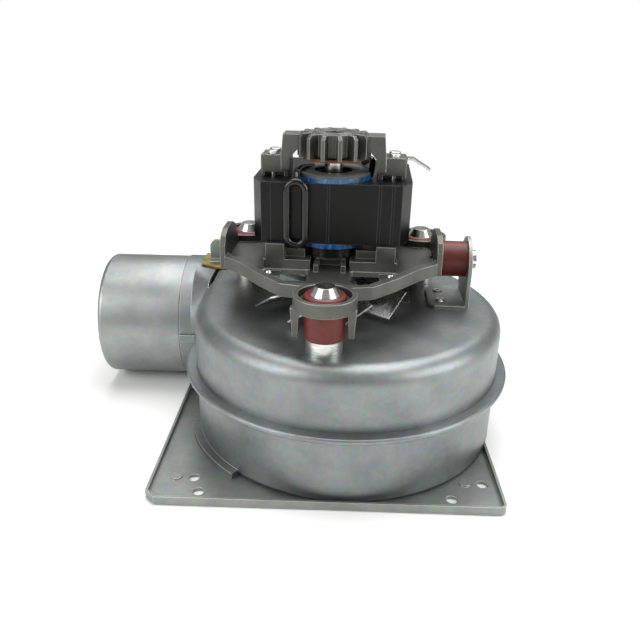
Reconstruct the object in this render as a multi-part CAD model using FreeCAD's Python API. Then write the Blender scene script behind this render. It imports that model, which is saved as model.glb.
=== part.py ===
import FreeCAD, Part
import math
import os
from FreeCAD import Vector

# Flue-gas extractor fan for a boiler.  Millimetres, +Z up.
# The origin is where the motor axis meets the underside of the base plate.
# The outlet spigot points along -X and the front of the casing faces -Y.

os.makedirs("parts", exist_ok=True)

# ---------------------------------------------------------------- driving sizes
# sheet metal and clearances
sheet = 0.8             # casing, spigot and nozzle sheet
seam_gap = 0.05         # air left between folded sheets
slip_gap = 0.1          # between parts that are pushed together
seat_gap = 0.02         # between a shaft and what is fixed on it
running_gap = 0.03      # between the shaft and its bearings
seal_gap = 0.6          # between the shaft and the seals it passes
spare_gap = 0.3         # between pieces that must never touch

# base plate
plate_side = 138.0
plate_sheet = 1.0
plate_rim = 3.5         # height of the turned-up rim
plate_corner = 3.0
plate_chamfer = 4.0     # front left corner
corner_hole = 2.25      # radius
front_x = 49.2          # pair of holes along the front edge
front_y = -61.8
spare_x = -52.6         # extra hole at the front left corner
spare_y = -53.2
side_x = 62.7           # pair of holes along the right edge
side_y = 51.8
pip_inset = 7.0         # from a spare hole to the locating pip beside it
pip_radius = 2.2        # locating pips pressed beside the holes
pip_height = 0.7

# casing
casing_radius = 66.3    # front half of the scroll
scroll_radius = 75.0    # rear right quarter of the scroll
casing_x = 7.4          # the scroll's centre beside the motor axis
casing_height = 57.7    # top face above the underside of the plate
seam_height = 30.7      # where the two shells meet
top_round = 7.0
foot_round = 2.0
rear_corner = 12.0
flange_width = 4.5      # folded seam around the casing
flange_round = 0.9
shaft_opening = 11.0    # radius of the hole in the casing top
strip_radius = 69.8     # welded strip along the left foot of the casing
strip_top = 3.6
strip_from = 194.0      # degrees around the scroll
strip_to = 230.0

# outlet
spigot_radius = 30.0    # 60 mm flue
spigot_y = 45.0
spigot_z = 30.2
spigot_end = -111.3
spigot_nose = 2.4       # rolled-in end
collar_end = -71.5      # mouth of the collar that holds the spigot
collar_start = -66.0
throat_start = -57.0
throat_lift = 0.12      # throat floor above the casing floor
doorway_depth = 14.0    # opening from the scroll into the throat
spigot_step = 0.5       # from the collar's mouth to where the spigot is sized down
spigot_grip = 5.3       # length of spigot inside the collar
neck_step = 0.4         # how much smaller that length is

# inlet
inlet_radius = 26.2     # inside the nozzle
inlet_height = 9.0
inlet_flange = 34.0

# impeller
impeller_radius = 52.0
impeller_eye = 31.0
impeller_bottom = 12.0
impeller_top = 46.8
impeller_sheet = 0.8
blade_count = 24
blade_depth = 12.0
blade_curve = 11.0      # radius of each blade's curve
impeller_hub = 8.0

# rotor
shaft_radius = 3.0
shaft_bottom = 32.0
shaft_top = 127.0
rotor_gap = 0.5         # air gap between rotor and stator
stator_bore = 12.0
end_ring = 2.0
rotor_sleeve_radius = 3.8

# cooling wheel
wheel_radius = 34.0
wheel_blades = 10
wheel_hub = 12.5
wheel_z = 63.8
wheel_sheet = 0.7
wheel_blade_width = 15.0
wheel_pitch = 32.0

# spider (motor support)
support_turn = -2.0     # degrees about Z, seen from above
spider_bottom = 75.2
spider_top = 80.3
spider_floor = 77.3
spider_rim = 2.0
eye_radius = 11.7
eye_recess = 9.8
eye_hole = 5.5
front_mount_y = -50.0
rear_mount_x = 39.8
rear_mount_y = 30.3
bearing_boss = 12.1
bearing_boss_bottom = 70.0
bearing_boss_top = 81.6
channel_reach = 19.0    # front end of the channel walls
seat_inner = 18.4       # from the middle to the pads under the stack
seat_ledge = 81.4
tab_thickness = 2.2     # upright walls at the spider's corners
tab_x = 43.2            # inner face of those walls
damper_y = 6.0
damper_z = 77.0

# isolators
rubber_radius = 7.6
rubber_foot = 63.4      # where the rubber starts above the sleeve
sleeve_radius = 6.9
sleeve_core = 4.0
screw_shank = 2.3
cap_radius = 5.6
cap_top = 3.6
cap_height = 3.1
rubber_lip = 7.8

# motor
motor_turn = -3.0       # degrees about Z, seen from above
stack_width = 63.4
stack_front = -14.5
stack_rear = 40.5
stack_bottom = 87.8
stack_top = 112.0
stack_chamfer_x = 4.0
stack_chamfer_y = 8.0
groove_width = 0.8
groove_depth = 0.4
winding_outer = 15.4
winding_inner = 12.4
winding_top = 114.0
winding_bottom = 85.8
winding_disc = 0.8
cover_radius = 13.2
winding_disc_hole = 7.8
slot_count = 6
slot_circle = 13.9
slot_radius = 1.3
lead_radius = 1.5
loop_left = -17.2
loop_right = -9.9
loop_top = 112.6
loop_bottom = 87.4

# bearing bridge
hub_radius = 10.0
fin_radius = 14.8
fin_count = 14
fin_thickness = 1.5
fin_bottom = 120.3
hub_top = 129.6
hub_ring = 8.1
hub_hole = 3.7
arm_outer = 20.5
arm_half = 5.0
arm_top = 128.9
foot_inner = 17.5
foot_outer = 29.2
foot_front = -4.0
foot_rear = 8.0
foot_top = 120.7
bridge_screw = 1.5
screw_x = 24.4
screw_rows = (-0.6, 5.0)
bearing_radius = 6.4
bearing_length = 5.5

# brackets beside the motor
bracket_sheet = 1.5
bracket_base_x = 42.5
bracket_leg_x = 57.6    # inner face of the right bracket's leg
bracket_front = -5.0
bracket_rear = 19.6
bracket_top = 86.4
bracket_bend = 1.5
rivet_radius = 2.3

# ---------------------------------------------------------------- values that follow
casing_floor = plate_sheet
casing_left = casing_x - casing_radius
scroll_x = casing_x + casing_radius - scroll_radius
rotor_radius = stator_bore - rotor_gap
neck_radius = spigot_radius - neck_step
collar_bore = neck_radius + slip_gap
collar_radius = collar_bore + sheet
up = Vector(0, 0, 1)
centre = Vector(0, 0, 0)
full_turn = 360
far = 300.0             # beyond the object on every side


# ---------------------------------------------------------------- helpers
def rod(radius, low, high, x=0.0, y=0.0):
    """A round bar that stands on end."""
    return Part.makeCylinder(radius, high - low, Vector(x, y, low))


def ring(outer, inner, low, high, x=0.0, y=0.0):
    """A round washer or tube that stands on end."""
    return rod(outer, low, high, x, y).cut(rod(inner, low - 1, high + 1, x, y))


def block(x0, x1, y0, y1, z0, z1):
    """A plain block between two corners."""
    return Part.makeBox(x1 - x0, y1 - y0, z1 - z0, Vector(x0, y0, z0))


def bar_x(radius, x0, x1, y, z):
    """A round bar along X."""
    return Part.makeCylinder(radius, x1 - x0, Vector(x0, y, z), Vector(1, 0, 0))


def prism(points, low, high):
    """A straight-sided block on a plan of corner points."""
    corners = [Vector(x, y, low) for x, y in points]
    wire = Part.makePolygon(corners + corners[:1])
    return Part.Face(wire).extrude(Vector(0, 0, high - low))


def joined(solids):
    """One solid made of pieces that touch."""
    first = solids[0]
    return first.fuse(solids[1:]).removeSplitter()


def turned(shape, degrees):
    """A copy turned about the motor axis."""
    copy = shape.copy()
    copy.rotate(centre, up, degrees)
    return copy


def on_spider(shape):
    return turned(shape, support_turn)


def on_motor(shape):
    return turned(shape, motor_turn)


def save(name, shape):
    """Write one node, checked to be sound."""
    if not shape.isValid():
        print("unsound:", name)
    shape.exportStep("parts/" + name + ".step")


def edges_at(shape, height):
    """Edges that lie flat at one height."""
    found = []
    for edge in shape.Edges:
        box = edge.BoundBox
        if abs(box.ZMin - height) < 1e-4 and abs(box.ZMax - height) < 1e-4:
            found.append(edge)
    return found


def arc(a, b, c):
    return Part.Arc(a, b, c).toShape()


# ---------------------------------------------------------------- casing
def scroll_face(grow, height):
    """The casing's plan, grown outwards all round by grow."""
    front = casing_radius + grow
    rear = scroll_radius + grow
    left = casing_left - grow
    corner = rear_corner + grow
    corner_x = casing_left + rear_corner
    corner_y = scroll_radius - rear_corner
    lean = corner * math.sqrt(0.5)

    def at(x, y):
        return Vector(x, y, height)

    edges = [
        arc(at(left, 0), at(casing_x, -front), at(casing_x + front, 0)),
        arc(
            at(casing_x + front, 0),
            at(scroll_x + rear * math.sqrt(0.5), rear * math.sqrt(0.5)),
            at(scroll_x, rear),
        ),
        Part.makeLine(at(scroll_x, rear), at(corner_x, rear)),
        arc(at(corner_x, rear), at(corner_x - lean, corner_y + lean), at(left, corner_y)),
        Part.makeLine(at(left, corner_y), at(left, 0)),
    ]
    return Part.Face(Part.Wire(edges))


def scroll_block(grow, low, high):
    return scroll_face(grow, low).extrude(Vector(0, 0, high - low))


def throat_end(x, shrink):
    """Rounded rectangle where the outlet throat leaves the scroll."""
    y0 = spigot_y - spigot_radius + shrink
    y1 = spigot_y + spigot_radius - shrink
    z0 = casing_floor + throat_lift + shrink
    z1 = casing_height - shrink
    r = top_round - shrink
    lean = r * (1 - math.sqrt(0.5))

    def at(y, z):
        return Vector(x, y, z)

    edges = [
        Part.makeLine(at(y1, z0 + r), at(y1, z1 - r)),
        arc(at(y1, z1 - r), at(y1 - lean, z1 - lean), at(y1 - r, z1)),
        Part.makeLine(at(y1 - r, z1), at(y0 + r, z1)),
        arc(at(y0 + r, z1), at(y0 + lean, z1 - lean), at(y0, z1 - r)),
        Part.makeLine(at(y0, z1 - r), at(y0, z0 + r)),
        arc(at(y0, z0 + r), at(y0 + lean, z0 + lean), at(y0 + r, z0)),
        Part.makeLine(at(y0 + r, z0), at(y1 - r, z0)),
        arc(at(y1 - r, z0), at(y1 - lean, z0 + lean), at(y1, z0 + r)),
    ]
    return Part.Wire(edges)


def collar_ring(x, radius):
    """Circle in eight arcs that match the throat's sides and corners."""
    side = 30.0
    stops = []
    for quarter in range(4):
        stops.append(quarter * 90 - side)
        stops.append(quarter * 90 + side)
    stops.append(360 - side)

    def at(degrees):
        a = math.radians(degrees)
        return Vector(x, spigot_y + radius * math.cos(a), spigot_z + radius * math.sin(a))

    edges = []
    for a, b in zip(stops[:-1], stops[1:]):
        edges.append(arc(at(a), at((a + b) / 2), at(b)))
    return Part.Wire(edges)


def throat_cone(shrink, radius):
    """Throat: its outside when shrink is 0, the space inside when it is the sheet."""
    sections = [throat_end(throat_start, shrink), collar_ring(collar_start, radius)]
    return Part.makeLoft(sections, True, True)


def hollowed(solid, spaces, low, high):
    """What is left between two levels once the spaces are taken out."""
    slab = block(-far, far, -far, far, low, high)
    wider = block(-far, far, -far, far, low - 1, high + 1)
    solid = solid.common(slab)
    for space in spaces:
        solid = solid.cut(space.common(wider))
    return solid


def casing_half(low, high):
    """The hollow casing between two levels."""
    scroll = scroll_block(0, casing_floor, casing_height)
    scroll = scroll.makeFillet(top_round, edges_at(scroll, casing_height))
    scroll = scroll.makeFillet(foot_round, edges_at(scroll, casing_floor))
    inner_top = casing_height - sheet
    inside = scroll_block(-sheet, casing_floor + sheet, inner_top)
    inside = inside.makeFillet(top_round - sheet, edges_at(inside, inner_top))
    doorway = Part.Face(throat_end(throat_start, sheet)).extrude(Vector(doorway_depth, 0, 0))
    passage = throat_cone(sheet, collar_bore)
    collar = bar_x(collar_radius, collar_end, collar_start, spigot_y, spigot_z)
    mouth = bar_x(collar_bore, collar_end - 1, collar_start, spigot_y, spigot_z)
    walls = hollowed(scroll, [inside, doorway, passage], low, high)
    throat = hollowed(throat_cone(0, collar_radius), [passage], low, high)
    rim = hollowed(collar, [mouth], low, high)
    half = walls.fuse([throat, rim]).removeSplitter()
    half = half.cut(rod(shaft_opening, casing_height - 5, casing_height + 5))
    return half.cut(rod(inlet_radius + sheet + spare_gap, 0, casing_floor + 2 * sheet))


def seam_blank(grow, low, high):
    """Scroll plan without the stretch where the throat leaves it."""
    blank = scroll_block(grow, low, high)
    clear = 1.5
    y0 = spigot_y - spigot_radius - clear
    return blank.cut(block(casing_left - 20, casing_left + 14, y0, 200, low - 1, high + 1))


upper_half = casing_half(seam_height + seam_gap / 2, far)
lower_half = casing_half(-far, seam_height - seam_gap / 2)

upper_flange = seam_blank(flange_width - sheet - seam_gap, seam_height + seam_gap / 2, seam_height + sheet)
upper_flange = upper_flange.cut(seam_blank(-sheet / 2, 0, casing_height))
upper_shell = joined([upper_half, upper_flange])

fold_low = seam_height - sheet
fold_high = seam_height + 2 * sheet
fold = seam_blank(flange_width, fold_low, fold_high)
fold = fold.makeFillet(flange_round, [e for h in (fold_low, fold_high) for e in edges_at(fold, h)])
fold = fold.cut(scroll_block(-sheet / 2, fold_low - 1, seam_height - seam_gap / 2))
fold = fold.cut(scroll_block(seam_gap, seam_height - seam_gap / 2, fold_high + 1))
fold = fold.cut(
    scroll_block(flange_width - sheet, seam_height - seam_gap / 2, seam_height + sheet + seam_gap)
)
strip_low = casing_floor + seam_gap
strip_section = Part.Face(Part.makePolygon([
    Vector(casing_radius - sheet / 2, 0, strip_low),
    Vector(strip_radius, 0, strip_low),
    Vector(strip_radius, 0, strip_top),
    Vector(casing_radius - sheet / 2, 0, strip_top),
    Vector(casing_radius - sheet / 2, 0, strip_low),
]))
strip = strip_section.revolve(centre, up, strip_to - strip_from)
strip.rotate(centre, up, strip_from)
strip.translate(Vector(casing_x, 0, 0))
lower_shell = joined([lower_half, fold, strip])

save("lower_casing_shell", lower_shell)


# ---------------------------------------------------------------- base plate
def plate_block(side, low, high, corner, cut_corner):
    half = side / 2
    body = block(-half, half, -half, half, low, high)
    uprights = []
    for edge in body.Edges:
        box = edge.BoundBox
        front_left = box.XMin < 0 and box.YMin < 0
        if box.ZLength > high - low - 1e-3 and not front_left:
            uprights.append(edge)
    body = body.makeFillet(corner, uprights)
    chamfered = [
        e for e in body.Edges
        if abs(e.BoundBox.XMin + half) < 1e-4 and abs(e.BoundBox.YMin + half) < 1e-4
        and e.BoundBox.ZMax - e.BoundBox.ZMin > high - low - 1e-3 and e.BoundBox.XMax < 0
        and e.BoundBox.YMax < 0
    ]
    return body.makeChamfer(cut_corner, chamfered)


def base_plate():
    body = plate_block(plate_side, 0, plate_rim, plate_corner, plate_chamfer)
    inside = plate_block(
        plate_side - 2 * plate_sheet, plate_sheet, plate_rim + 1,
        plate_corner - plate_sheet, plate_chamfer - plate_sheet * 0.6,
    )
    body = body.cut(inside)
    body = body.cut(scroll_block(seam_gap, plate_sheet, plate_rim + 1))
    notch_half = spigot_radius - 4.0
    notch_y0 = spigot_y - notch_half
    body = body.cut(block(-plate_side, throat_start, notch_y0, spigot_y + notch_half, -1, plate_rim + 1))
    body = body.cut(rod(inlet_radius + sheet + spare_gap, -1, plate_rim))
    front_pair = [(front_x, front_y), (-front_x, front_y)]
    side_pair = [(side_x, side_y), (side_x, -side_y)]
    for x, y in front_pair + side_pair + [(spare_x, spare_y)]:
        body = body.cut(rod(corner_hole, -1, plate_rim, x, y))
    for x, y in [(spare_x, spare_y), (side_x, -side_y)]:
        body = body.fuse(rod(pip_radius, plate_sheet, plate_sheet + pip_height, x - pip_inset, y))
    return body.removeSplitter()


save("base_plate", base_plate())


# ---------------------------------------------------------------- inlet nozzle
nozzle = ring(inlet_radius + sheet, inlet_radius, 0, inlet_height)
nozzle_seat = casing_floor + sheet + seam_gap
nozzle_flange = ring(inlet_flange, inlet_radius + sheet / 2, nozzle_seat, nozzle_seat + sheet)
save("inlet_nozzle", joined([nozzle, nozzle_flange]))


# ---------------------------------------------------------------- outlet spigot
def outlet_spigot():
    start = collar_end + spigot_grip
    tube = bar_x(spigot_radius, spigot_end, collar_end - spigot_step, spigot_y, spigot_z)
    nose = [e for e in tube.Edges if abs(e.BoundBox.XMax - spigot_end) < 1e-4]
    tube = tube.makeFillet(spigot_nose, nose)
    tube = tube.fuse(bar_x(neck_radius, spigot_end + 10, start, spigot_y, spigot_z))
    bore = bar_x(spigot_radius - sheet, spigot_end + sheet, start + 1, spigot_y, spigot_z)
    nose = [e for e in bore.Edges if abs(e.BoundBox.XMax - spigot_end - sheet) < 1e-4]
    bore = bore.makeFillet(spigot_nose - sheet, nose)
    mouth = bar_x(spigot_radius - spigot_nose, spigot_end - 1, start, spigot_y, spigot_z)
    return tube.cut(bore).cut(mouth)


save("outlet_spigot", outlet_spigot())

clip_thickness = 1.6
clip_height = 3.4
clip_front = spigot_y - spigot_radius - clip_thickness
clip = block(
    collar_end, casing_left - flange_width - 0.5, clip_front, spigot_y - spigot_radius + 0.6,
    seam_height - clip_height / 2, seam_height + clip_height / 2,
)
clip = clip.cut(throat_cone(0, collar_radius))
clip = clip.cut(bar_x(collar_radius, collar_end - 1, collar_start, spigot_y, spigot_z))
clip_solids = sorted(clip.Solids, key=lambda s: -s.Volume)
save("throat_seam_clip", clip_solids[0])


# ---------------------------------------------------------------- shaft seal
gasket_radius = 14.0
gasket_thickness = 1.0
seal_plate_radius = 15.5
seal_plate_thickness = 0.8
gasket_top = casing_height + gasket_thickness
seal_hole = shaft_radius + seal_gap
gasket = ring(gasket_radius, seal_hole, casing_height, gasket_top)
seal_plate = ring(seal_plate_radius, seal_hole, gasket_top, gasket_top + seal_plate_thickness)
save("shaft_gasket", gasket)
save("shaft_seal_plate", seal_plate)


# ---------------------------------------------------------------- isolators
isolators = {
    "front": (0.0, front_mount_y),
    "right": (rear_mount_x, rear_mount_y),
    "left": (-rear_mount_x, rear_mount_y),
}
grommet_top = spider_top - 0.1
for side, (mx, my) in isolators.items():
    foot = ring(sleeve_radius, screw_shank + slip_gap, casing_height, rubber_foot, mx, my)
    core = ring(sleeve_core, screw_shank + slip_gap, rubber_foot, grommet_top, mx, my)
    save("isolator_sleeve_" + side, on_spider(joined([foot, core])))

    body = rod(rubber_radius, rubber_foot, spider_bottom, mx, my)
    low_edge = edges_at(body, rubber_foot)
    body = body.makeFillet(0.6, low_edge)
    neck = rod(eye_hole - slip_gap, spider_bottom, spider_floor, mx, my)
    lip = rod(rubber_lip, spider_floor, grommet_top, mx, my)
    lip = lip.makeFillet(1.0, edges_at(lip, grommet_top))
    rubber = joined([body, neck, lip])
    rubber = rubber.cut(rod(sleeve_core + slip_gap, rubber_foot - 1, grommet_top + 1, mx, my))
    save("isolator_rubber_" + side, on_spider(rubber))

    cap = Part.makeCone(cap_radius, cap_top, cap_height, Vector(mx, my, grommet_top))
    shank = rod(screw_shank, casing_height - 4.0, grommet_top, mx, my)
    save("isolator_screw_" + side, on_spider(joined([cap, shank])))

    nut = rod(4.0, casing_height - sheet - 3.2, casing_height - sheet, mx, my)
    nut = nut.cut(rod(screw_shank + slip_gap, 0, casing_height, mx, my))
    save("isolator_nut_" + side, on_spider(nut))

# the screws pass through the casing top
screw_holes = [on_spider(rod(screw_shank + slip_gap, 50, 60, mx, my)) for mx, my in isolators.values()]
upper_shell = upper_shell.cut(screw_holes)


# ---------------------------------------------------------------- spider
def spider_plan():
    """Half outline from the front eye round to the rear, mirrored."""
    half = [
        (7.0, -44.0), (17.5, -41.5), (26.5, -31.8), (36.0, -19.5),
        (43.3, -12.8), (45.4, -8.0), (45.4, 22.0), (40.0, 37.0),
    ]
    return half + [(-x, y) for x, y in reversed(half)]


def rounded_plan(points, low, high, radius):
    body = prism(points, low, high)
    uprights = [e for e in body.Edges if e.BoundBox.ZLength > high - low - 1e-3]
    return body.makeFillet(radius, uprights)


def spider():
    height = spider_top
    plan = rounded_plan(spider_plan(), spider_bottom, height, 2.5)
    pocket_plan = []
    for x, y in spider_plan():
        scale_x = (abs(x) - spider_rim) / abs(x)
        scale_y = (abs(y) - spider_rim * 1.2) / abs(y)
        pocket_plan.append((x * scale_x, y * scale_y))
    pocket = rounded_plan(pocket_plan, spider_floor, height + 1, 2.0)
    body = plan.cut(pocket)

    eyes = []
    for mx, my in isolators.values():
        eyes.append(rod(eye_radius, spider_bottom, height, mx, my))
    body = body.fuse(eyes)
    boss = rod(bearing_boss, bearing_boss_bottom, bearing_boss_top)
    body = body.fuse(boss)

    # motor seats, front and rear, each side
    seat_front = stack_front - 2.2
    for side in (-1, 1):
        x0, x1 = sorted((side * 8.0, side * 27.0))
        p0, p1 = sorted((side * seat_inner, side * 26.0))
        ledge = block(x0, x1, seat_front, seat_front + 7.0, spider_bottom, seat_ledge)
        pad_block = block(p0, p1, seat_front, seat_front + 6.0, spider_bottom, stack_bottom)
        rear_seat = block(p0, p1, 28.0, 36.0, spider_bottom, stack_bottom)
        b0, b1 = sorted((side * 10.4, side * seat_inner))
        back = block(b0, b1, seat_front + 4.5, seat_front + 7.0, seat_ledge, seat_ledge + 3.4)
        body = body.fuse([ledge, pad_block, rear_seat, back])
        # channel walls from the bearing boss to the front eye
        w0, w1 = sorted((side * 4.6, side * 6.4))
        wall = block(w0, w1, -channel_reach, -bearing_boss + 1.5, spider_bottom, height)
        body = body.fuse(wall)

    # windows
    window = [(8.4, -16.9), (26.0, -16.9), (30.0, -20.5), (20.8, -31.5), (15.0, -34.0), (8.4, -30.0)]
    for side in (-1, 1):
        cut = [(side * x, y) for x, y in window]
        body = body.cut(rounded_plan(cut, spider_bottom - 1, spider_floor + 0.5, 1.5))

    # eyes and bearing seat
    for mx, my in isolators.values():
        body = body.cut(rod(eye_recess, spider_floor, height + 1, mx, my))
        body = body.cut(rod(eye_hole, spider_bottom - 1, spider_floor + 1, mx, my))
    seat_bottom = bearing_seat
    body = body.cut(rod(lower_bearing_radius, seat_bottom, bearing_boss_top + 1))
    body = body.cut(rod(shaft_radius + seal_gap, 0, seat_bottom + 1))
    slot = block(-4.6, 4.6, -bearing_boss - 2, -bearing_boss + 2.6, spider_floor, 80.2)
    body = body.cut(slot)

    # upright walls for the side dampers
    for side in (-1, 1):
        x0, x1 = sorted((side * tab_x, side * (tab_x + tab_thickness)))
        outline = [
            (-12.5, spider_bottom), (-12.5, 84.5), (-10.2, 88.2), (-5.0, 90.2),
            (6.0, 90.2), (12.5, 87.8), (17.0, 82.0), (18.0, spider_bottom - 4.0),
            (6.0, spider_bottom - 6.5), (-4.0, spider_bottom - 3.0),
        ]
        corners = [Vector(x0, y, z) for y, z in outline]
        face = Part.Face(Part.makePolygon(corners + corners[:1]))
        tab = face.extrude(Vector(x1 - x0, 0, 0))
        body = body.fuse(tab)
        # shelf that carries a locating rivet, across the outer end of the window
        s0, s1 = sorted((side * 20.0, side * 29.0))
        shelf = block(s0, s1, -23.5, -15.0, spider_bottom, spider_bottom + 1.4)
        body = body.fuse(shelf)

    # tapered pegs below the front eye
    for px in (-10.6, 10.0):
        top = Part.makePlane(3.4, 3.0, Vector(px - 1.7, front_mount_y - 3.8, spider_bottom + 0.5))
        tip = Part.makePlane(1.9, 1.9, Vector(px - 0.95, front_mount_y - 3.2, spider_bottom - 10.8))
        body = body.fuse(Part.makeLoft([tip.OuterWire, top.OuterWire], True, True))
    return body.removeSplitter()


lower_bearing_radius = 8.0
bearing_seat = 73.0
spider_shape = on_spider(spider())

shelf_top = spider_bottom + 1.4
shelf_rivets = []
for side in (-1, 1):
    head = Part.makeCone(1.5, 0.9, 0.9, Vector(side * 24.6, -19.2, shelf_top))
    shelf_rivets.append(head)
save("spider_rivets", on_spider(Part.makeCompound(shelf_rivets)))

lower_bearing = ring(lower_bearing_radius - seat_gap, shaft_radius + running_gap, bearing_seat, 79.0)
save("lower_bearing", lower_bearing)
cover_top = winding_bottom - 0.2
cover = ring(cover_radius, 6.5, bearing_boss_top, cover_top)
cover = cover.makeFillet(0.5, [e for e in edges_at(cover, cover_top) if e.BoundBox.XLength > 20])
save("lower_winding_cover", cover)


# ---------------------------------------------------------------- side damper and brackets
leg_outer = bracket_leg_x + bracket_sheet
base_top = casing_height + bracket_sheet
leg_mid_y = (bracket_front + bracket_rear) / 2
leg_half = (bracket_rear - bracket_front) / 2


def right_bracket():
    base = block(bracket_base_x, leg_outer, bracket_front, bracket_rear, casing_height, base_top)
    corners = [
        e for e in base.Edges
        if e.BoundBox.ZLength > bracket_sheet - 1e-3 and e.BoundBox.XMax < bracket_base_x + 1e-3
    ]
    base = base.makeChamfer(2.4, corners)
    spring_line = bracket_top - leg_half
    leg = block(bracket_leg_x, leg_outer, bracket_front, bracket_rear, base_top, spring_line)
    crown = bar_x(leg_half, bracket_leg_x, leg_outer, leg_mid_y, spring_line)
    leg = joined([leg, crown])
    relief = block(
        bracket_leg_x - 3, leg_outer + 1, bracket_rear - 2.2, bracket_rear + 1,
        base_top - 3, base_top + 2.5,
    )
    body = joined([base, leg])
    bend = [
        e for e in body.Edges
        if abs(e.BoundBox.XMin - leg_outer) < 1e-4 and abs(e.BoundBox.XMax - leg_outer) < 1e-4
        and abs(e.BoundBox.ZMax - casing_height) < 1e-4
    ]
    body = body.makeFillet(bracket_bend, bend)
    hole = bar_x(screw_shank + slip_gap, bracket_leg_x - 1, leg_outer + 1, damper_y, damper_z)
    body = body.cut(relief).cut(hole)
    for ry in rivet_rows:
        body = body.cut(rod(1.6, casing_height - 1, base_top + 1, rivet_x, ry))
    return body


rivet_x = 47.6
rivet_rows = (1.8, 12.6)
save("right_bracket", on_spider(right_bracket()))


def rivet(x, y, surface):
    """Blind rivet: domed rim with a dimple, and its shank through the sheets."""
    head = Part.makeCone(rivet_radius, rivet_radius * 0.72, 0.9, Vector(x, y, surface))
    head = head.cut(rod(0.9, surface + 0.3, surface + 2, x, y))
    shank = rod(1.5, casing_height - sheet - 1.5, surface, x, y)
    return joined([head, shank])


bracket_rivets = [rivet(rivet_x, ry, base_top) for ry in rivet_rows]
save("right_bracket_rivets", on_spider(Part.makeCompound(bracket_rivets)))

damper_left = tab_x + tab_thickness
damper = bar_x(rubber_radius, damper_left, bracket_leg_x, damper_y, damper_z)
damper = damper.cut(bar_x(screw_shank + slip_gap, damper_left - 1, bracket_leg_x + 1, damper_y, damper_z))
save("side_damper", on_spider(damper))

bolt = bar_x(screw_shank, tab_x + 0.3, leg_outer, damper_y, damper_z)
bolt_head = bar_x(4.0, leg_outer, leg_outer + 2.6, damper_y, damper_z)
save("side_damper_bolt", on_spider(joined([bolt, bolt_head])))
bolt_hole = bar_x(screw_shank + slip_gap, tab_x - 1, damper_left + 1, damper_y, damper_z)
spider_shape = spider_shape.cut(on_spider(bolt_hole))
save("motor_spider", spider_shape)

left_x = -57.2
left_y = 45.0
pad_thickness = 1.0
pad_half = 8.0
slope = (spigot_z + collar_radius - casing_height) / (throat_start - collar_start)
pad_reach = 6.5
pad_line = [
    (throat_start + 7.0, casing_height),
    (throat_start, casing_height),
    (throat_start - pad_reach, casing_height + slope * pad_reach),
]


def pad_profile(lift, depth):
    """Strip along the top of the throat, bent to the start of its slope."""
    low = [Vector(x, left_y - pad_half, z + lift) for x, z in pad_line]
    high = [Vector(x, left_y - pad_half, z + lift + depth) for x, z in reversed(pad_line)]
    return Part.Face(Part.makePolygon(low + high + low[:1])).extrude(Vector(0, 2 * pad_half, 0))


save("left_bracket_pad", pad_profile(slip_gap, pad_thickness))
pad_level = slip_gap + pad_thickness
left_base = block(
    left_x - 3.6, left_x + 3.6, left_y - 4.0, left_y + 2.6,
    casing_height, casing_height + pad_level + bracket_sheet,
)
left_leg_top = 66.4
left_leg = block(left_x - 3.6, left_x + 3.6, left_y + 1.1, left_y + 2.6, casing_height, left_leg_top)
left_crown = Part.makeCylinder(
    3.6, bracket_sheet, Vector(left_x, left_y + 1.1, left_leg_top), Vector(0, 1, 0)
)
left_bracket = joined([left_base, left_leg, left_crown])
save("left_bracket", left_bracket.cut(pad_profile(-5.0, 5.0 + pad_level)))
upper_shell = upper_shell.cut([on_spider(rod(1.6, 50, 60, rivet_x, ry)) for ry in rivet_rows])
save("upper_casing_shell", upper_shell)


# ---------------------------------------------------------------- stator
def stack():
    half = stack_width / 2
    cx = stack_chamfer_x
    cy = stack_chamfer_y
    plan = [
        (-half + cx, stack_front), (half - cx, stack_front), (half, stack_front + cy),
        (half, stack_rear - cy), (half - cx, stack_rear), (-half + cx, stack_rear),
        (-half, stack_rear - cy), (-half, stack_front + cy),
    ]
    body = prism(plan, stack_bottom, stack_top)
    body = body.cut(rod(stator_bore, stack_bottom - 1, stack_top + 1))
    for n in range(slot_count):
        a = math.radians(n * full_turn / slot_count)
        x = slot_circle * math.cos(a)
        y = slot_circle * math.sin(a)
        body = body.cut(rod(slot_radius, stack_bottom - 1, stack_top + 1, x, y))
    for gx in (-24.4, -1.0, 19.1, 24.3):
        groove = block(
            gx - groove_width / 2, gx + groove_width / 2, stack_front - 1,
            stack_front + groove_depth, stack_bottom - 1, stack_top + 1,
        )
        body = body.cut(groove)
    for sx, sy in screw_places:
        body = body.cut(rod(bridge_screw, stack_bottom - 1, stack_top + 1, sx, sy))
    return body


screw_places = [(side * screw_x, y) for side in (-1, 1) for y in screw_rows]
save("stator_stack", on_motor(stack()))

winding = [
    ring(winding_outer, winding_inner, stack_top, winding_top),
    ring(winding_outer, winding_inner, winding_bottom, stack_bottom),
]
for n in range(slot_count):
    a = math.radians(n * full_turn / slot_count)
    x = slot_circle * math.cos(a)
    y = slot_circle * math.sin(a)
    winding.append(rod(slot_radius - slip_gap, winding_bottom + 0.5, winding_top - 0.5, x, y))
save("winding", on_motor(joined(winding)))
disc = ring(winding_outer - 0.1, winding_disc_hole, winding_top, winding_top + winding_disc)
save("winding_disc", disc)


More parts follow.
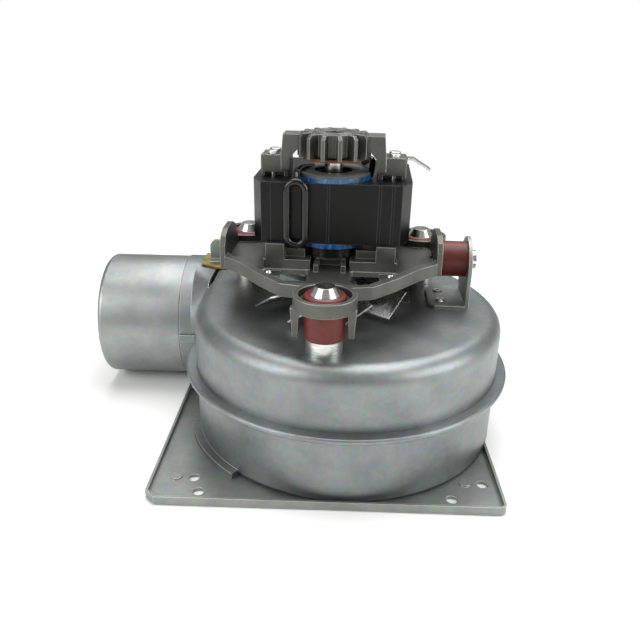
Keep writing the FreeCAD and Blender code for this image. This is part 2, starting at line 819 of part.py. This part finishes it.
def sleeve_loop():
    """Insulating sleeve on the motor leads: down one side, across and up the other."""
    y = stack_front - lead_radius - 0.3
    bend = (loop_right - loop_left) / 2
    mid = (loop_left + loop_right) / 2
    path = [
        arc(
            Vector(loop_right, y, loop_top - bend), Vector(mid, y, loop_top),
            Vector(loop_left, y, loop_top - bend),
        ),
        Part.makeLine(Vector(loop_left, y, loop_top - bend), Vector(loop_left, y, loop_bottom + bend)),
        arc(
            Vector(loop_left, y, loop_bottom + bend), Vector(mid, y, loop_bottom),
            Vector(loop_right, y, loop_bottom + bend),
        ),
        Part.makeLine(Vector(loop_right, y, loop_bottom + bend), Vector(loop_right, y, loop_top - bend)),
    ]
    spine = Part.Wire(path)
    section = Part.Wire(
        Part.makeCircle(lead_radius, Vector(loop_left, y, (loop_top + loop_bottom) / 2), Vector(0, 0, 1))
    )
    return spine.makePipeShell([section], True, True)


save("lead_sleeve", on_motor(sleeve_loop()))


# ---------------------------------------------------------------- bearing bridge
def bridge():
    hub = rod(hub_radius, fin_bottom + 0.4, hub_top)
    lip = ring(hub_ring, hub_ring - 1.4, hub_top - 0.2, hub_top + 0.5)
    pieces = [hub, lip]
    chamfer = 1.3
    for n in range(fin_count):
        profile = [
            Vector(hub_radius - 1.5, -fin_thickness / 2, fin_bottom),
            Vector(fin_radius, -fin_thickness / 2, fin_bottom),
            Vector(fin_radius, -fin_thickness / 2, hub_top - chamfer),
            Vector(fin_radius - chamfer, -fin_thickness / 2, hub_top),
            Vector(hub_radius - 1.5, -fin_thickness / 2, hub_top),
        ]
        fin = Part.Face(Part.makePolygon(profile + profile[:1])).extrude(Vector(0, fin_thickness, 0))
        fin.rotate(centre, up, -104 + n * full_turn / fin_count)
        pieces.append(fin)
    for side in (-1, 1):
        outline = [
            (8.0, arm_top), (arm_outer - 0.4, arm_top), (arm_outer + 0.4, foot_top - 0.4),
            (arm_outer + 0.4, stack_top + 3), (foot_inner, stack_top + 3), (foot_inner, 119.4),
            (14.6, 122.8), (8.0, 124.0),
        ]
        corners = [Vector(side * x, -arm_half, z) for x, z in outline]
        arm = Part.Face(Part.makePolygon(corners + corners[:1])).extrude(Vector(0, 2 * arm_half, 0))
        x0, x1 = sorted((side * foot_inner, side * foot_outer))
        foot = block(x0, x1, foot_front, foot_rear, stack_top, foot_top)
        foot_rims = [e for e in foot.Edges if e.BoundBox.ZMin > stack_top + 1 or e.BoundBox.ZLength > 5]
        foot = foot.makeFillet(0.8, foot_rims)
        n0, n1 = sorted((side * (foot_inner + 2.2), side * (foot_outer - 1.6)))
        notch = block(n0, n1, foot_front - 1, foot_front + 3.0, stack_top - 1, stack_top + 1.8)
        pieces += [arm, foot.cut(notch)]
    body = joined(pieces)
    body = body.cut(rod(hub_hole, fin_bottom - 1, hub_top + 2))
    body = body.cut(rod(bearing_radius, fin_bottom - 1, upper_bearing_z + bearing_length))
    for sx, sy in screw_places:
        body = body.cut(rod(bridge_screw, stack_top - 1, foot_top + 1, sx, sy))
    return body


upper_bearing_z = 121.6
save("bearing_bridge", on_motor(bridge()))
upper_bearing = ring(
    bearing_radius - seat_gap, shaft_radius + running_gap, upper_bearing_z, upper_bearing_z + bearing_length
)
save("upper_bearing", upper_bearing)
felt = ring(12.5, 4.2, fin_bottom - 0.9, fin_bottom)
save("bearing_felt", felt)

screws = []
for sx, sy in screw_places:
    head = rod(2.4, foot_top, foot_top + 1.3, sx, sy)
    head = head.makeFillet(0.6, edges_at(head, foot_top + 1.3))
    head = head.cut(block(sx - 1.7, sx + 1.7, sy - 0.35, sy + 0.35, foot_top + 0.8, foot_top + 2))
    head = head.cut(block(sx - 0.35, sx + 0.35, sy - 1.7, sy + 1.7, foot_top + 0.8, foot_top + 2))
    shank = rod(bridge_screw - slip_gap, stack_bottom - 6.0, foot_top, sx, sy)
    screws.append(joined([head, shank]))
save("bridge_screws", on_motor(Part.makeCompound(screws)))

# ---------------------------------------------------------------- earth tab
def earth_tab():
    thickness = 0.8
    half = 2.4
    z0 = 118.6
    route = [(foot_outer, z0 + 2.0), (31.8, z0 + 1.9), (38.6, z0 - 2.2)]
    upper = [Vector(x, -half, z) for x, z in route]
    lower = [Vector(x - 0.35, -half, z - thickness) for x, z in reversed(route)]
    lower[-1] = Vector(foot_outer, -half, z0 + 2.0 - thickness)
    corners = upper + lower
    return Part.Face(Part.makePolygon(corners + corners[:1])).extrude(Vector(0, 2 * half, 0))


save("earth_tab", on_motor(earth_tab()))


# ---------------------------------------------------------------- rotor
save("shaft", rod(shaft_radius, shaft_bottom, shaft_top))
seat_bore = shaft_radius + seat_gap
core = ring(rotor_radius, seat_bore, stack_bottom + 0.4, stack_top - 0.4)
save("rotor_core", core)
cage = [
    ring(rotor_radius - 0.6, seat_bore + 4, stack_top - 0.4, stack_top - 0.4 + end_ring),
    ring(rotor_radius - 0.6, seat_bore + 4, stack_bottom + 0.4 - end_ring, stack_bottom + 0.4),
]
save("rotor_end_rings", Part.makeCompound(cage))
sleeve_top = fin_bottom - 1.4
save("rotor_sleeve", ring(rotor_sleeve_radius, seat_bore, stack_top + end_ring, sleeve_top))


# ---------------------------------------------------------------- cooling wheel
def cooling_wheel():
    disc_body = ring(wheel_hub, seat_bore, wheel_z, wheel_z + wheel_sheet)
    collar = ring(5.2, seat_bore, wheel_z - 3.2, wheel_z + wheel_sheet)
    pieces = [disc_body, collar]
    for n in range(wheel_blades):
        blade = Part.makeBox(
            wheel_radius - wheel_hub + 1.0, wheel_blade_width, wheel_sheet,
            Vector(wheel_hub - 1.0, -wheel_blade_width / 2, wheel_z),
        )
        middle = Vector(wheel_hub, 0, wheel_z + wheel_sheet / 2)
        blade.rotate(middle, Vector(1, 0, 0), wheel_pitch)
        blade.rotate(centre, up, n * full_turn / wheel_blades)
        pieces.append(blade)
    body = joined(pieces)
    return body.cut(rod(seat_bore, wheel_z - 10, wheel_z + 10))


save("cooling_wheel", cooling_wheel())


# ---------------------------------------------------------------- impeller
def blade_ring():
    """Forward-curved blades between the impeller's two plates."""
    low = impeller_bottom + impeller_sheet
    high = impeller_top - impeller_sheet
    inner = impeller_radius - blade_depth
    blades = []
    for n in range(blade_count):
        start = Vector(inner, 0, low)
        chord = blade_depth - 0.6
        tip = Vector(inner + chord * 0.92, chord * 0.42, low)
        mid = (start + tip) * 0.5
        across = (tip - start).cross(up)
        across.normalize()
        middle = mid + across * (chord * chord / (8 * blade_curve))
        centre_line = arc(start, middle, tip)
        bend_centre = centre_line.Curve.Center
        grow = (centre_line.Curve.Radius + impeller_sheet) / centre_line.Curve.Radius
        outer = [bend_centre + (p - bend_centre) * grow for p in (start, middle, tip)]
        wire = Part.Wire([
            centre_line, Part.makeLine(tip, outer[2]),
            arc(outer[2], outer[1], outer[0]), Part.makeLine(outer[0], start),
        ])
        blade = Part.Face(wire).extrude(Vector(0, 0, high - low))
        blade.rotate(centre, up, n * full_turn / blade_count)
        blades.append(blade)
    return Part.makeCompound(blades)


save("impeller_blades", blade_ring())
shroud = ring(impeller_radius, impeller_eye, impeller_bottom, impeller_bottom + impeller_sheet)
save("impeller_shroud", shroud)
back = ring(impeller_radius, seat_bore, impeller_top - impeller_sheet, impeller_top)
save("impeller_backplate", back)
hub = joined([
    ring(impeller_hub, seat_bore, impeller_top - impeller_sheet - 7.0, impeller_top - impeller_sheet),
    ring(impeller_hub - 2, seat_bore, impeller_top - impeller_sheet - 9.0, impeller_top - impeller_sheet - 7.0),
])
save("impeller_hub", hub)
save("impeller_clamp_washer", ring(6.0, seat_bore, impeller_top, impeller_top + 1.5))


def shaft_nut():
    low = shaft_bottom + 0.8
    points = []
    for n in range(6):
        a = math.radians(n * 60)
        points.append((5.4 * math.cos(a), 5.4 * math.sin(a)))
    return prism(points, low, low + 4.2).cut(rod(seat_bore, low - 1, low + 6))


save("impeller_nut", shaft_nut())
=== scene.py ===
import bpy
import math
from mathutils import Matrix, Vector


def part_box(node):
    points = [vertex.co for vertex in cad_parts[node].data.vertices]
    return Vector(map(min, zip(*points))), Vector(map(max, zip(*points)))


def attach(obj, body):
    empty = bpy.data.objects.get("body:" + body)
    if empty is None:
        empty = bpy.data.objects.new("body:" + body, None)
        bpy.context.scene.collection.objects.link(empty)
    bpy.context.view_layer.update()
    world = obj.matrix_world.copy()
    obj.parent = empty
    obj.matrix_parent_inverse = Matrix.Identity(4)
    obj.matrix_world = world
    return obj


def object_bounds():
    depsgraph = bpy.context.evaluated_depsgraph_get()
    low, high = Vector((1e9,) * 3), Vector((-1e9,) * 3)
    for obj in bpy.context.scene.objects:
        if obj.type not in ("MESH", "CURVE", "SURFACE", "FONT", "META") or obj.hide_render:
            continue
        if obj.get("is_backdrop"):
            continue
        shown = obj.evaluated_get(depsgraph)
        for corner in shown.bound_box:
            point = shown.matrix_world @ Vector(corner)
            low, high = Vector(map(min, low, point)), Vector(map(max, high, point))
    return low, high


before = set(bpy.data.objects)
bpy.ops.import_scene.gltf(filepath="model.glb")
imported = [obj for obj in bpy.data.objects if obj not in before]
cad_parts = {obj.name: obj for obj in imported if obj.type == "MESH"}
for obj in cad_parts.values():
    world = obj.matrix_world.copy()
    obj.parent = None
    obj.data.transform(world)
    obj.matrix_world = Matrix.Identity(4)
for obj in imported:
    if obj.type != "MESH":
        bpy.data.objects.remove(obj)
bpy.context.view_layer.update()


# Casing and spigot: zinc-coated steel sheet, pressed and folded.  Faint spangle, drawing
# marks running round the walls, small dull patches, and a painted highlight along folded edges.
mm = 0.001


def srgb(code):
    """Linear colour of a hex code such as 8a3d36."""
    values = []
    for start in (0, 2, 4):
        c = int(code[start:start + 2], 16) / 255
        values.append(c / 12.92 if c <= 0.04045 else ((c + 0.055) / 1.055) ** 2.4)
    return (*values, 1.0)


def add(tree, kind, settings=None, links=None):
    """Adds a shader node, sets its sockets or properties, and links its inputs."""
    node = tree.nodes.new(kind)
    for key, value in (settings or {}).items():
        if key in node.inputs:
            node.inputs[key].default_value = value
        else:
            setattr(node, key, value)
    for key, source in (links or {}).items():
        tree.links.new(source, node.inputs[key])
    return node


def new_material(name, **surface):
    """A material with one Principled surface; its tree and its surface node come with it."""
    mat = bpy.data.materials.new(name)
    mat.use_nodes = True
    tree = mat.node_tree
    shader = tree.nodes["Principled BSDF"]
    for key, value in surface.items():
        shader.inputs[key.replace("_", " ")].default_value = value
    return mat, tree, shader


def ramp(tree, source, stops):
    """Colours along a value, given as (place, hex) stops."""
    node = add(tree, "ShaderNodeValToRGB", None, {"Fac": source})
    elements = node.color_ramp.elements
    while len(elements) < len(stops):
        elements.new(0.5)
    for element, (place, code) in zip(elements, stops):
        element.position = place
        element.color = srgb(code)
    return node.outputs["Color"]


def spread(tree, source, low, high):
    """Maps 0 to 1 onto low to high."""
    node = add(tree, "ShaderNodeMapRange", {"To Min": low, "To Max": high}, {"Value": source})
    return node.outputs["Result"]


def place(tree, stretch=(1, 1, 1)):
    """Object coordinates, stretched along an axis where a finish has a direction."""
    where = add(tree, "ShaderNodeTexCoord").outputs["Object"]
    return add(tree, "ShaderNodeMapping", {"Scale": stretch}, {"Vector": where}).outputs["Vector"]


def noise(tree, size, detail=3.0, stretch=(1, 1, 1)):
    """Noise whose grains are about size millimetres."""
    scale = 1 / (size * mm)
    vector = place(tree, stretch)
    node = add(tree, "ShaderNodeTexNoise", {"Scale": scale, "Detail": detail}, {"Vector": vector})
    return node.outputs["Fac"]


def soften(tree, shader, radius, height=None, depth=0.0):
    """Rounds hard edges as the maker's tools leave them, and adds a relief where one is given."""
    edge = add(tree, "ShaderNodeBevel", {"Radius": radius * mm, "samples": 6}).outputs["Normal"]
    if height is not None:
        relief = {"Strength": 1.0, "Distance": depth * mm}
        edge = add(tree, "ShaderNodeBump", relief, {"Height": height, "Normal": edge}).outputs["Normal"]
    tree.links.new(edge, shader.inputs["Normal"])


def painted_edge_highlight(tree, radius):
    """0 on flat faces and 1 on edges, for the painted highlight laid along them."""
    bevel = add(tree, "ShaderNodeBevel", {"Radius": radius * mm, "samples": 6}).outputs["Normal"]
    normal = add(tree, "ShaderNodeNewGeometry").outputs["Normal"]
    dot = add(tree, "ShaderNodeVectorMath", {"operation": "DOT_PRODUCT"})
    tree.links.new(bevel, dot.inputs[0])
    tree.links.new(normal, dot.inputs[1])
    limits = {"From Min": 0.995, "From Max": 0.9, "To Min": 0.0, "To Max": 1.0}
    return add(tree, "ShaderNodeMapRange", limits, {"Value": dot.outputs["Value"]}).outputs["Result"]


def mix(tree, factor, first, second):
    node = add(tree, "ShaderNodeMix", {"data_type": "RGBA"})
    for socket, value in ((node.inputs[0], factor), (node.inputs[6], first), (node.inputs[7], second)):
        if isinstance(value, (tuple, float, int)):
            socket.default_value = value
        else:
            tree.links.new(value, socket)
    return node.outputs[2]


def paint(names, material):
    """Gives CAD nodes their finish."""
    for name in names:
        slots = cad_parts[name].material_slots
        for item in slots:
            item.material = material


def zinc_sheet(name, dark, light, gloss):
    mat, tree, shader = new_material(name, Metallic=0.92)
    cloud = noise(tree, 14, 4)
    fine = noise(tree, 0.9, 2, (1, 1, 0.25))
    spangle = add(
        tree, "ShaderNodeTexVoronoi", {"Scale": 1 / (2.2 * mm)}, {"Vector": place(tree)}
    ).outputs["Color"]
    base = ramp(tree, cloud, [(0.3, dark), (0.7, light)])
    base = mix(tree, 0.035, base, spangle)
    # Near-white colour along the edges is a painted highlight.
    base = mix(tree, painted_edge_highlight(tree, 0.35), base, srgb("d5d4cf"))
    tree.links.new(base, shader.inputs["Base Color"])
    tree.links.new(spread(tree, fine, gloss - 0.05, gloss + 0.12), shader.inputs["Roughness"])
    soften(tree, shader, 0.35, fine, 0.006)
    return mat


sheet_steel = zinc_sheet("zinc coated sheet", "7b8081", "8c9191", 0.42)
paint(["upper_casing_shell", "lower_casing_shell", "throat_seam_clip"], sheet_steel)
spigot_steel = zinc_sheet("spigot sheet", "898d8d", "9b9e9c", 0.40)
paint(["outlet_spigot", "inlet_nozzle"], spigot_steel)
plate_steel = zinc_sheet("base plate sheet", "868a88", "989b97", 0.46)
paint(["base_plate", "right_bracket", "left_bracket"], plate_steel)
wheel_steel = zinc_sheet("impeller sheet", "8e8f8d", "a8a8a5", 0.33)
paint(
    [
        "impeller_blades", "impeller_shroud", "impeller_backplate", "impeller_hub",
        "impeller_clamp_washer",
    ],
    wheel_steel,
)


# Cooling wheel: bright aluminium sheet, cut and twisted, clean and reflective.
def wheel_sheet():
    mat, tree, shader = new_material("cooling wheel sheet", Metallic=1.0)
    grain = noise(tree, 0.6, 2, (0.2, 1, 1))
    tree.links.new(ramp(tree, grain, [(0.2, "b9bab8"), (0.8, "dddedc")]), shader.inputs["Base Color"])
    tree.links.new(spread(tree, grain, 0.22, 0.34), shader.inputs["Roughness"])
    soften(tree, shader, 0.2, grain, 0.003)
    return mat


paint(["cooling_wheel"], wheel_sheet())


# Spider and bearing bridge: die-cast aluminium, satin grey with a fine skin, darker flow
# marks and a painted highlight on the arrises.
def die_cast():
    mat, tree, shader = new_material("die cast aluminium", Metallic=0.9)
    flow = noise(tree, 9, 4)
    skin = noise(tree, 0.35, 2)
    base = ramp(tree, flow, [(0.3, "595954"), (0.7, "6a6a64")])
    # Lighter grey along the arrises is a painted highlight.
    base = mix(tree, painted_edge_highlight(tree, 0.5), base, srgb("a3a29b"))
    tree.links.new(base, shader.inputs["Base Color"])
    tree.links.new(spread(tree, flow, 0.42, 0.56), shader.inputs["Roughness"])
    soften(tree, shader, 0.5, skin, 0.02)
    return mat


paint(["motor_spider", "bearing_bridge", "rotor_end_rings"], die_cast())


# Screws, shaft, isolator sleeves and rivets: bright turned metal, with the rings that turning
# leaves.
def turned_metal(name, code, low, high):
    mat, tree, shader = new_material(name, Metallic=1.0)
    rings = noise(tree, 0.5, 2, (0.15, 0.15, 1))
    tree.links.new(ramp(tree, rings, [(0.2, code), (0.8, "f1f1ee")]), shader.inputs["Base Color"])
    tree.links.new(spread(tree, rings, low, high), shader.inputs["Roughness"])
    soften(tree, shader, 0.2, rings, 0.004)
    return mat


bright_steel = turned_metal("bright steel", "c9c9c6", 0.14, 0.26)
sleeve_metal = turned_metal("turned aluminium", "b4b5b2", 0.24, 0.38)
sides = ("front", "right", "left")
paint([f"isolator_screw_{side}" for side in sides], bright_steel)
paint([f"isolator_nut_{side}" for side in sides], bright_steel)
paint([f"isolator_sleeve_{side}" for side in sides], sleeve_metal)
paint(["shaft", "rotor_sleeve", "impeller_nut"], bright_steel)
paint(["side_damper_bolt", "bridge_screws", "earth_tab"], bright_steel)
paint(["shaft_seal_plate", "right_bracket_rivets", "spider_rivets"], sleeve_metal)


# Isolators and side damper: red-brown silicone rubber, satin, with moulding dust; edges get a painted
# highlight.
def red_rubber():
    mat, tree, shader = new_material("red silicone rubber")
    dust = noise(tree, 2.2, 4)
    base = ramp(tree, dust, [(0.3, "54130f"), (0.8, "6b201b")])
    # Lighter red along the edges is a painted highlight.
    base = mix(tree, painted_edge_highlight(tree, 0.5), base, srgb("84332d"))
    tree.links.new(base, shader.inputs["Base Color"])
    tree.links.new(spread(tree, dust, 0.38, 0.55), shader.inputs["Roughness"])
    soften(tree, shader, 0.5, noise(tree, 0.5, 2), 0.02)
    return mat


paint([f"isolator_rubber_{side}" for side in sides] + ["side_damper"], red_rubber())


# Stator stack and rotor core: punched laminations under black varnish.  The sheets show as
# fine level lines, and the corners get a painted highlight.
lamination = 0.5


def varnished_stack():
    mat, tree, shader = new_material("varnished laminations", Metallic=0.0)
    where = place(tree)
    level = add(tree, "ShaderNodeSeparateXYZ", None, {"Vector": where}).outputs["Z"]
    phase = add(tree, "ShaderNodeMath", {"operation": "MULTIPLY"}, {0: level})
    phase.inputs[1].default_value = 2 * math.pi / (lamination * mm)
    lines = add(tree, "ShaderNodeMath", {"operation": "SINE"}, {0: phase.outputs[0]}).outputs[0]
    varnish = noise(tree, 5, 3)
    base = ramp(tree, varnish, [(0.3, "060606"), (0.8, "0c0c0c")])
    # Grey on the corners of the black stack is a painted highlight.
    base = mix(tree, painted_edge_highlight(tree, 0.6), base, srgb("353838"))
    shader.inputs["Specular IOR Level"].default_value = 0.28
    tree.links.new(base, shader.inputs["Base Color"])
    tree.links.new(spread(tree, varnish, 0.3, 0.45), shader.inputs["Roughness"])
    soften(tree, shader, 0.5, lines, 0.006)
    return mat


paint(["stator_stack", "rotor_core"], varnished_stack())


# Winding: blue insulating film wrapped over enamelled wire, glossy and slightly wrinkled.
def blue_film():
    mat, tree, shader = new_material("blue film", Coat_Weight=0.5, Coat_Roughness=0.1)
    wrinkle = noise(tree, 1.4, 3, (1, 1, 0.4))
    base = ramp(tree, wrinkle, [(0.3, "0b2b48"), (0.6, "1d5482"), (0.85, "5f9cc6")])
    tree.links.new(base, shader.inputs["Base Color"])
    shader.inputs["Roughness"].default_value = 0.28
    soften(tree, shader, 0.3, wrinkle, 0.25)
    return mat


paint(["winding"], blue_film())


# Disc over the winding: dark pressed board.  Felt and gasket: brown fibre.
def fibre(name, dark, light, rough):
    mat, tree, shader = new_material(name)
    hair = noise(tree, 0.7, 4)
    tree.links.new(ramp(tree, hair, [(0.3, dark), (0.75, light)]), shader.inputs["Base Color"])
    shader.inputs["Roughness"].default_value = rough
    soften(tree, shader, 0.2, hair, 0.05)
    return mat


paint(["winding_disc"], fibre("pressed board", "3b3c3b", "5a5b59", 0.55))
paint(["bearing_felt", "shaft_gasket"], fibre("brown fibre", "4a2f20", "73492f", 0.85))


# Lead sleeve and winding cover: black varnished sleeving and black moulding, glossy.
def black_gloss():
    mat, tree, shader = new_material("black gloss", Base_Color=srgb("0b0b0b"), IOR=1.5)
    braid = noise(tree, 0.5, 2, (1, 1, 0.3))
    tree.links.new(spread(tree, braid, 0.16, 0.3), shader.inputs["Roughness"])
    soften(tree, shader, 0.2, braid, 0.02)
    return mat


black = black_gloss()
paint(["lead_sleeve", "lower_winding_cover"], black)


# Motor leads: enamelled leads in black sleeving, laid over the edge of the winding.  Each is a
# smooth tube along a few points.
def lead(name, points, radius):
    curve = bpy.data.curves.new(name, "CURVE")
    curve.dimensions = "3D"
    curve.bevel_depth = radius * mm
    curve.bevel_resolution = 4
    spline = curve.splines.new("NURBS")
    spline.points.add(len(points) - 1)
    for point, where in zip(spline.points, points):
        point.co = (*(Vector(where) * mm), 1)
    spline.order_u = 3
    spline.use_endpoint_u = True
    obj = bpy.data.objects.new(name, curve)
    bpy.context.collection.objects.link(obj)
    curve.materials.append(black)
    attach(obj, "root")


lead_radius = 1.3
disc_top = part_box("winding_disc")[1][2] / mm
sleeve_low, sleeve_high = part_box("lead_sleeve")
sleeve_mid = (sleeve_low[0] + sleeve_high[0]) / 2 / mm
sleeve_top = sleeve_high[2] / mm
sleeve_y = (sleeve_low[1] + sleeve_high[1]) / 2 / mm
lead(
    "winding_lead",
    [
        (sleeve_mid, sleeve_y, sleeve_top - 1.6),
        (sleeve_mid + 0.4, sleeve_y + 1.5, sleeve_top + 0.9),
        (sleeve_mid - 0.2, sleeve_y + 6, disc_top + 0.3),
        (sleeve_mid + 0.6, sleeve_y + 12, disc_top + 0.9),
        (sleeve_mid + 2.4, sleeve_y + 18, disc_top + 0.6),
        (sleeve_mid + 5.5, sleeve_y + 24, disc_top - 0.4),
    ],
    lead_radius,
)
lead(
    "rear_lead",
    [
        (14.6, -3, disc_top - 1.6),
        (15.9, 1, disc_top + 2.6),
        (15.2, 6, disc_top + 4.2),
        (12.5, 11, disc_top + 1.0),
    ],
    lead_radius,
)


# Strip under the left bracket: yellow-passivated zinc, with the rainbow tint such zinc has.
def yellow_zinc():
    mat, tree, shader = new_material("yellow passivated zinc", Metallic=0.75)
    tint = noise(tree, 3, 3)
    base = ramp(tree, tint, [(0.3, "8a7b3f"), (0.6, "a89a58"), (0.85, "8f9a6d")])
    tree.links.new(base, shader.inputs["Base Color"])
    tree.links.new(spread(tree, tint, 0.35, 0.5), shader.inputs["Roughness"])
    soften(tree, shader, 0.2, tint, 0.01)
    return mat


paint(["left_bracket_pad"], yellow_zinc())


# Motor bearings: sintered bronze, oiled and finely porous.
def bronze():
    mat, tree, shader = new_material("sintered bronze", Metallic=0.85)
    pores = noise(tree, 0.3, 3)
    tree.links.new(ramp(tree, pores, [(0.3, "6b4a26"), (0.8, "a47a45")]), shader.inputs["Base Color"])
    shader.inputs["Roughness"].default_value = 0.45
    soften(tree, shader, 0.2, pores, 0.02)
    return mat


paint(["upper_bearing", "lower_bearing"], bronze())


# Floor: plain and pale, turning into the white backdrop away from the object.
def floor():
    half = 3.0
    below = 0.2
    fade_from = 0.16
    fade_to = 0.42
    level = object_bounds()[0][2] - below * mm
    mesh = bpy.data.meshes.new("floor")
    corners = [(-half, -half, level), (half, -half, level), (half, half, level), (-half, half, level)]
    mesh.from_pydata(corners, [], [(0, 1, 2, 3)])
    obj = bpy.data.objects.new("floor", mesh)
    bpy.context.collection.objects.link(obj)
    mat, tree, shader = new_material("floor paper", Base_Color=srgb("f4f4f2"), Roughness=0.8)
    where = add(tree, "ShaderNodeTexCoord").outputs["Object"]
    away = add(tree, "ShaderNodeVectorMath", {"operation": "LENGTH"}, {0: where}).outputs["Value"]
    limits = {"From Min": fade_from, "From Max": fade_to}
    fade = add(tree, "ShaderNodeMapRange", limits, {"Value": away}).outputs["Result"]
    seen = add(tree, "ShaderNodeLightPath").outputs["Is Camera Ray"]
    white = add(tree, "ShaderNodeMath", {"operation": "MULTIPLY"}, {0: fade, 1: seen}).outputs[0]
    glow = add(tree, "ShaderNodeEmission", {"Color": srgb("ffffff")}).outputs[0]
    blend = add(tree, "ShaderNodeMixShader", None, {0: white, 1: shader.outputs[0], 2: glow})
    tree.links.new(blend.outputs[0], tree.nodes["Material Output"].inputs["Surface"])
    mesh.materials.append(mat)
    obj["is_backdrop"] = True


floor()


# Studio: soft overhead box, a wide left box and a weaker right one; the backdrop is white.
def softbox(name, at, towards, size, power):
    light = bpy.data.lights.new(name, "AREA")
    light.size = size
    light.energy = power
    obj = bpy.data.objects.new(name, light)
    obj.location = at
    obj.rotation_euler = (Vector(towards) - Vector(at)).to_track_quat("-Z", "Y").to_euler()
    bpy.context.collection.objects.link(obj)


middle = (0, 0, 0.06)
softbox("overhead box", (0.05, 0.2, 0.75), middle, 0.8, 8)
softbox("left box", (-0.65, -0.45, 0.5), middle, 0.6, 5)
softbox("right box", (0.7, -0.3, 0.4), middle, 0.5, 4)

world = bpy.data.worlds.new("studio")
bpy.context.scene.world = world
world.use_nodes = True
air = world.node_tree
air.nodes.clear()
seen = add(air, "ShaderNodeLightPath").outputs["Is Camera Ray"]
room = add(air, "ShaderNodeBackground", {"Color": srgb("b8bab8"), "Strength": 0.62}).outputs[0]
white = add(air, "ShaderNodeBackground", {"Color": srgb("ffffff"), "Strength": 1.0}).outputs[0]
sky = add(air, "ShaderNodeMixShader", None, {0: seen, 1: room, 2: white}).outputs[0]
add(air, "ShaderNodeOutputWorld", None, {"Surface": sky})


# Camera: in front of the fan and above it, looking down at the casing.
def camera():
    at = (1.02, -271.42, 166.78)
    pitch = math.radians(23.6)
    yaw = math.radians(1.14)
    roll = math.radians(1.13)
    ahead = Vector((-math.sin(yaw) * math.cos(pitch), math.cos(yaw) * math.cos(pitch), -math.sin(pitch)))
    right = Vector((math.cos(yaw), math.sin(yaw), 0))
    above = right.cross(ahead)
    across = math.cos(roll) * right + math.sin(roll) * above
    upward = -math.sin(roll) * right + math.cos(roll) * above
    data = bpy.data.cameras.new("camera")
    data.lens = 37.48
    data.sensor_width = 36
    data.clip_start = 0.01
    obj = bpy.data.objects.new("camera", data)
    turn = Matrix((across, upward, -ahead)).transposed().to_4x4()
    obj.matrix_world = Matrix.Translation(Vector(at) * mm) @ turn
    bpy.context.collection.objects.link(obj)
    bpy.context.scene.camera = obj


camera()
bpy.context.scene.view_settings.view_transform = "Standard"
